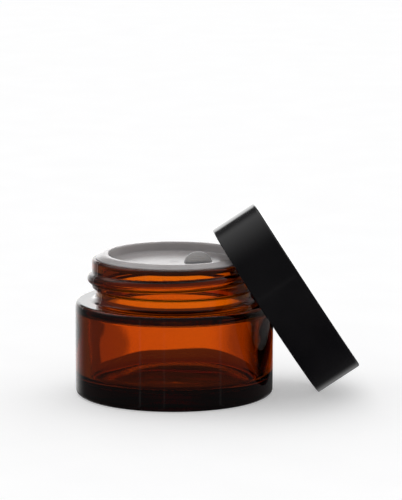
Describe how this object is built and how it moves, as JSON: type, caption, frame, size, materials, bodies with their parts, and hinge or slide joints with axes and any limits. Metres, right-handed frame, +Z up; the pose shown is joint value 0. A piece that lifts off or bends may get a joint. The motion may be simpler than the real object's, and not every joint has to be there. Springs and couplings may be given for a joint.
{
  "type": "cosmetic cream jar",
  "caption": "Wide-mouth glass cream jar with a threaded neck, a press-in sealing disc with a pull tab, and a smooth screw cap leaning on it.",
  "frame": {"origin": "centre of the jar's base, on the surface that the jar stands on", "axes": "+Z up along the jar's axis, +X from the jar towards the leaning cap, +Y away from the front"},
  "size_m": [0.0862, 0.06, 0.0573],
  "materials": {
    "amber_glass": "clear amber, fire-polished, slightly wavy",
    "disc_plastic": "satin moulded polyethylene, milky white",
    "tab_plastic": "satin moulded polyethylene, milky white",
    "cap_plastic": "black, smooth, semi-gloss",
    "liner_foam": "white closed-cell polyethylene foam",
    "liner_film": "smooth pale sealing film"
  },
  "bodies": {
    "jar": {"glass_jar": "amber_glass"},
    "disc": {"sealing_disc": "disc_plastic"},
    "tab": {"pull_tab": "tab_plastic"},
    "liner": {"liner_core": "liner_foam", "liner_facing": "liner_film"},
    "cap": {"screw_cap": "cap_plastic"}
  },
  "joints": [
    {"name": "disc_lift", "type": "slide", "parent": "jar", "child": "disc", "axis": [0, 0, 1], "range_m": [0, 0.009]},
    {"name": "tab_fold", "type": "hinge", "parent": "disc", "child": "tab", "pos_m": [0.0068, -0.0063, 0.04075], "axis": [1, 0, 0], "range_deg": [-88, 30]},
    {"name": "cap_swing", "type": "hinge", "parent": "disc", "child": "liner", "pos_m": [-0.00066, 0, 0.00697], "axis": [0, -1, 0], "range_deg": [0, 57]},
    {"name": "cap_turn", "type": "hinge", "parent": "liner", "child": "cap", "pos_m": [0.02773, 0, 0.02463], "axis": [0.8387, 0, 0.5446], "continuous": true}
  ]
}
